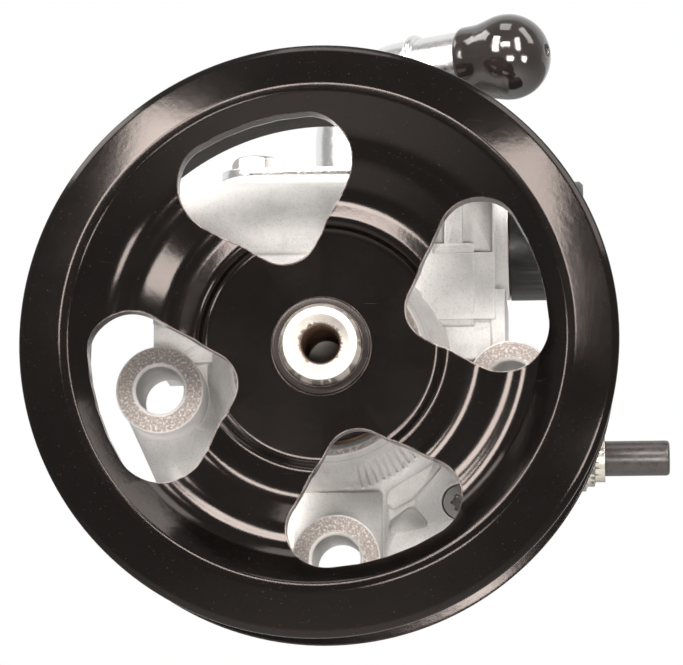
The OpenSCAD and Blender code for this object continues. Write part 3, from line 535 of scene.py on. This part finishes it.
wear("cover_screws", finish=zinc_plate("screw_plating", (0.62, 0.60, 0.57), (0.44, 0.42, 0.39), 0.35))
bolt_finish = zinc_plate("bolt_plating", (0.46, 0.45, 0.43), (0.30, 0.29, 0.28), 0.34)
wear("cover_bolts", "valve_plug", finish=bolt_finish)
BOLT_SPOTS = ((-0.0198, 0.061), (-0.015, 0.079))
BOLT_SEAT, HEX_R, HEX_DEPTH, HEX_TURN = 0.0522, 0.00635, 0.006, math.radians(-40)
CROWN = [(0, 0.4, 0), (7, 0.4, 0), (7, 1.7, 0), (6.45, 2.7, 0), (5.0, 3.7, 0.4), (0, 3.7, 0)]
SHANK = [(0, -13), (2.6, -13), (3.0, -12.4), (3.0, 0), (5.45, 0), (5.45, 0.9), (0, 0.9)]
bolts = []
for spot_x, spot_y in BOLT_SPOTS:
    at = Matrix.Translation((spot_x, spot_y, BOLT_SEAT))
    crown = turned("bolt_crown", softened(CROWN), 64, at)
    bpy.ops.object.select_all(action="DESELECT")
    bpy.ops.mesh.primitive_cylinder_add(vertices=6, radius=HEX_R, depth=HEX_DEPTH, rotation=(0, 0, HEX_TURN),
                                        location=(spot_x, spot_y, BOLT_SEAT + HEX_DEPTH / 2))
    bolt = bpy.context.object
    bolt.name = "suction_bolt_%d" % (len(bolts) + 1)
    settle()
    shaped_by(bolt, crown, "INTERSECT")
    shank = turned("bolt_shank", SHANK, 48, at)
    pick(shank, bolt)
    bpy.ops.object.join()
    bolts.append(bolt)
finished(bolts[0], "pump", "bolt_zinc", bolt_finish, "suction_bolts")
finished(bolts[1], "pump", "bolt_zinc", bolt_finish)
wear("outlet_union", finish=zinc_plate("union_plating", (0.62, 0.60, 0.50), (0.45, 0.43, 0.34), 0.3))
wear("union_seal", "switch_seal",
     finish=zinc_plate("copper_washer", (0.62, 0.33, 0.18), (0.42, 0.21, 0.11), 0.32))


# Suction pipe: bent steel tube brazed into a flange plate, bright zinc plated, with a rolled bead for the hose.
# Two bolts hold the plate on the casting's pad.
PIPE_FOOT, PIPE_TURN, PIPE_RISE = (0.0018, 0.066, 0.0), math.radians(-22), math.radians(3)
PIPE_R, PIPE_WALL, PIPE_BEND = 0.008, 0.0012, 0.016
PIPE_LOW, PIPE_UP, PIPE_END = 0.0422, 0.060, 0.031
BEAD_AT, BEAD_R = 0.0036, 0.0011
pipe_place = Matrix.Translation(PIPE_FOOT) @ Matrix.Rotation(PIPE_TURN, 4, "Z")
elbow_end = (PIPE_BEND * (1 - math.sin(PIPE_RISE)), 0, PIPE_UP + PIPE_BEND * math.cos(PIPE_RISE))
pipe_mouth = (pipe_place @ Matrix.Translation(elbow_end)
              @ Matrix.Rotation(QUARTER - PIPE_RISE, 4, "Y"))
bpy.ops.object.select_all(action="DESELECT")
bpy.ops.mesh.primitive_circle_add(vertices=72, radius=PIPE_R, location=(0, 0, PIPE_LOW))
pipe = bpy.context.object
pipe.name = "bent_suction_pipe"
settle()
bpy.ops.object.mode_set(mode="EDIT")
bpy.ops.mesh.extrude_region_move(TRANSFORM_OT_translate={"value": (0, 0, PIPE_UP - PIPE_LOW)})
bpy.ops.mesh.spin(steps=32, angle=QUARTER - PIPE_RISE, center=(PIPE_BEND, 0, PIPE_UP), axis=(0, -1, 0))
bpy.ops.mesh.extrude_region_move(
    TRANSFORM_OT_translate={"value": (PIPE_END * math.cos(PIPE_RISE), 0, PIPE_END * math.sin(PIPE_RISE))})
bpy.ops.mesh.select_all(action="SELECT")
bpy.ops.mesh.remove_doubles(threshold=SAME_SPOT)
bpy.ops.mesh.normals_make_consistent(inside=False)
bpy.ops.object.mode_set(mode="OBJECT")
pipe.matrix_world = pipe_place
settle()
wall = pipe.modifiers.new("wall", "SOLIDIFY")
wall.thickness = PIPE_WALL
wall.offset = -1
bpy.ops.object.modifier_apply(modifier="wall")

bpy.ops.object.select_all(action="DESELECT")
bpy.ops.mesh.primitive_torus_add(major_radius=PIPE_R, minor_radius=BEAD_R, major_segments=72, minor_segments=24)
bead = bpy.context.object
bead.matrix_world = pipe_mouth @ Matrix.Translation((0, 0, BEAD_AT))
settle()

PLATE_LOW, PLATE_T = 0.0501, 0.0021
PLATE_CORNERS = ((0.0018, 0.066, 0.013), (-0.015, 0.079, 0.0085), (-0.0198, 0.061, 0.0085))
bpy.ops.object.select_all(action="DESELECT")
for corner, (corner_x, corner_y, corner_r) in enumerate(PLATE_CORNERS):
    bpy.ops.mesh.primitive_cylinder_add(vertices=72, radius=corner_r, depth=PLATE_T,
                                        location=(corner_x, corner_y, PLATE_LOW + PLATE_T / 2))
    if corner == 0:
        plate = bpy.context.object
        settle()
        bpy.ops.object.mode_set(mode="EDIT")
bpy.ops.mesh.select_all(action="SELECT")
bpy.ops.mesh.convex_hull()
bpy.ops.object.mode_set(mode="OBJECT")
trim = plate.modifiers.new("pressed_edge", "BEVEL")
trim.width = 0.00025
trim.segments = 2
bpy.ops.object.modifier_apply(modifier="pressed_edge")
pick(plate, bead, pipe)
bpy.ops.object.join()
pipe_plating = zinc_plate("pipe_plating", (0.80, 0.80, 0.79), (0.70, 0.70, 0.69), 0.22)
finished(pipe, "pump", "pipe_zinc", pipe_plating, "suction_pipe")


# Transport caps: a dipped glossy vinyl cap on the pipe and a moulded plastic cup on the pressure union.
# Both only keep dirt out and are pulled off by hand.
def gloss_black(name, colour):
    mat, tree, shader, place = new_finish(name)
    ripple = grain(tree, place, 0.006, 2.0, 0.4)
    pale = tuple(1.8 * c for c in colour)
    tree.links.new(steps(tree, ripple, ((0.3, colour), (0.75, pale))), shader.inputs["Base Color"])
    tree.links.new(span(tree, ripple, 0.3, 0.7, 0.05, 0.14), shader.inputs["Roughness"])
    tree.links.new(relief(tree, ripple, 0.0006, 0.5, soft_edges(tree, 0.0008)), shader.inputs["Normal"])
    shader.inputs["Coat Weight"].default_value = 0.6
    shader.inputs["Coat Roughness"].default_value = 0.04
    return mat


CAP_R, CAP_SHOULDER, CAP_DOME = 10.2, 27.2, 9.8
CAP = [(0, 31.1, 0), (8.02, 31.1, 0.4), (8.02, 16.0, 0), (8.45, 16.0, 0.3), (8.85, 16.8, 0.3),
       (8.85, 20.4, 2.0), (9.5, 23.0, 1.8), (10.1, 25.4, 1.4)]
for degrees in range(0, 79, 6):
    lean = math.radians(degrees)
    CAP.append((CAP_R * math.cos(lean), CAP_SHOULDER + CAP_DOME * math.sin(lean), 0))
CAP += [(1.6, 36.9, 0.3), (1.2, 36.3, 0.3), (0, 36.3, 0)]
suction_cap = turned("dipped_suction_cap", softened(CAP, 8), 96, pipe_mouth)
finished(suction_cap, "pump", "cap_vinyl", gloss_black("dipped_vinyl", (0.0075, 0.0058, 0.005)), "suction_cap")
smoothed("outlet_cap", "outlet_transport_cap", "pump", "cap_plastic",
         soft_black("cap_plastic", (0.008, 0.0072, 0.0068), 0.4, 0.0025))


# Pressure switch: plated steel body screwed into its boss on the right.
# Its black terminal pin is moulded and pushed into the body.
smoothed("switch_body", "pressure_switch", "pump", "switch_zinc",
         zinc_plate("switch_plating", (0.56, 0.54, 0.48), (0.38, 0.36, 0.31), 0.32))
PIN_LENGTH, PIN_Y, PIN_Z = 0.015, 0.054, -0.0185
PIN_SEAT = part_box("switch_pin")[1][0] - PIN_LENGTH
pin_foot = Matrix.Translation((PIN_SEAT, PIN_Y, PIN_Z)) @ Matrix.Rotation(QUARTER, 4, "Y")
PIN = [(0, -5, 0), (3, -5, 0), (3, 0, 0), (4.1, 0, 0.2), (4.1, 15, 1.0), (0, 15, 0)]
switch_pin = turned("switch_terminal_pin", softened(PIN), 64, pin_foot)
pin_plastic = soft_black("pin_plastic", (0.018, 0.0145, 0.0125), 0.3, 0.002)
finished(switch_pin, "pump", "pin_plastic", pin_plastic, "switch_pin")


# Studio: a pale floor well below the part, which hangs free, and a white room behind it.
# Eight soft lamps around it are out of the camera's sight and show only in the reflections.
bpy.ops.object.select_all(action="DESELECT")
bpy.ops.mesh.primitive_plane_add(size=60.0, location=(0, 0, -1.2))
floor = bpy.context.object
floor.name = "studio_floor"
floor_mat, floor_tree, floor_shader, floor_place = new_finish("floor_paper")
floor_cloud = grain(floor_tree, floor_place, 0.3)
floor_tone = steps(floor_tree, floor_cloud, ((0.3, (0.84, 0.84, 0.84)), (0.7, (0.88, 0.88, 0.88))))
floor_tree.links.new(floor_tone, floor_shader.inputs["Base Color"])
floor_shader.inputs["Roughness"].default_value = 0.8
floor.data.materials.append(floor_mat)

room = bpy.data.worlds.new("studio_room")
bpy.context.scene.world = room
room.use_nodes = True
sky = room.node_tree
sky_back = sky.nodes["Background"]
sky_dir = sky.nodes.new("ShaderNodeTexCoord").outputs["Generated"]
sky_parts = sky.nodes.new("ShaderNodeSeparateXYZ")
sky.links.new(sky_dir, sky_parts.inputs["Vector"])
depth_glow = span(sky, sky_parts.outputs["Y"], -0.1, 0.6, 0.40, 0.5)
backdrop = span(sky, sky_parts.outputs["Y"], 0.1, 0.3, 0.0, 1.0)
rays = sky.nodes.new("ShaderNodeLightPath")
seen = sums(sky, "MAXIMUM", rays.outputs["Is Camera Ray"], rays.outputs["Is Transmission Ray"])
mirrored = sums(sky, "MULTIPLY", rays.outputs["Is Glossy Ray"], backdrop)
seen = sums(sky, "MAXIMUM", seen, mirrored)
sky.links.new(sums(sky, "MAXIMUM", seen, depth_glow), sky_back.inputs["Strength"])
sky_back.inputs["Color"].default_value = (1, 1, 1, 1)


def soft_lamp(name, place, aim, size, power, colour):
    lamp = bpy.data.lights.new(name, "AREA")
    lamp.shape = "RECTANGLE"
    lamp.size, lamp.size_y = size
    lamp.energy = power
    lamp.color = colour
    holder = bpy.data.objects.new(name, lamp)
    holder.location = place
    holder.rotation_euler = (Vector(aim) - Vector(place)).to_track_quat("-Z", "Y").to_euler()
    holder.visible_camera = False
    bpy.context.collection.objects.link(holder)


soft_lamp("lamp_left", (-0.70, -0.964, 0.634), (0, 0, 0), (0.34, 0.95), 32.0, (1.0, 0.95, 0.92))
soft_lamp("lamp_right", (0.684, -1.014, 0.571), (0, 0, 0), (0.30, 0.80), 18.0, (1.0, 0.95, 0.92))
soft_lamp("lamp_front", (-0.128, -1.21, 0.58), (0, 0, 0), (0.60, 0.26), 17.0, (1.0, 0.96, 0.94))
soft_lamp("lamp_foot", (0.216, -1.225, -0.38), (0, 0, 0), (0.36, 0.22), 9.0, (1.0, 0.96, 0.94))
soft_lamp("lamp_side", (0.908, -0.295, 0.955), (0, 0, 0), (0.36, 0.90), 5.0, (1.0, 0.96, 0.94))
soft_lamp("lamp_rear", (-0.920, -0.03, 0.987), (0, 0, 0), (0.60, 0.36), 4.0, (1.0, 0.96, 0.94))
soft_lamp("lamp_top", (-0.07, -0.30, 1.31), (0, 0, 0), (0.48, 0.48), 3.0, (1.0, 0.97, 0.95))
soft_lamp("lamp_low", (1.04, -0.81, -0.28), (0, 0, 0), (0.30, 0.30), 7.0, (1.0, 0.96, 0.94))

camera_data = bpy.data.cameras.new("photo_camera")
camera = bpy.data.objects.new("photo_camera", camera_data)
bpy.context.collection.objects.link(camera)
camera.location = (0.0638, -0.8146, -0.1454)
camera.rotation_euler = (-camera.location).to_track_quat("-Z", "Y").to_euler()
camera_data.lens = 197.8
camera_data.sensor_width = 36.0
camera_data.shift_x = 0.0312
camera_data.shift_y = 0.0165
camera_data.clip_start = 0.01
bpy.context.scene.camera = camera
bpy.context.scene.view_settings.view_transform = "Standard"
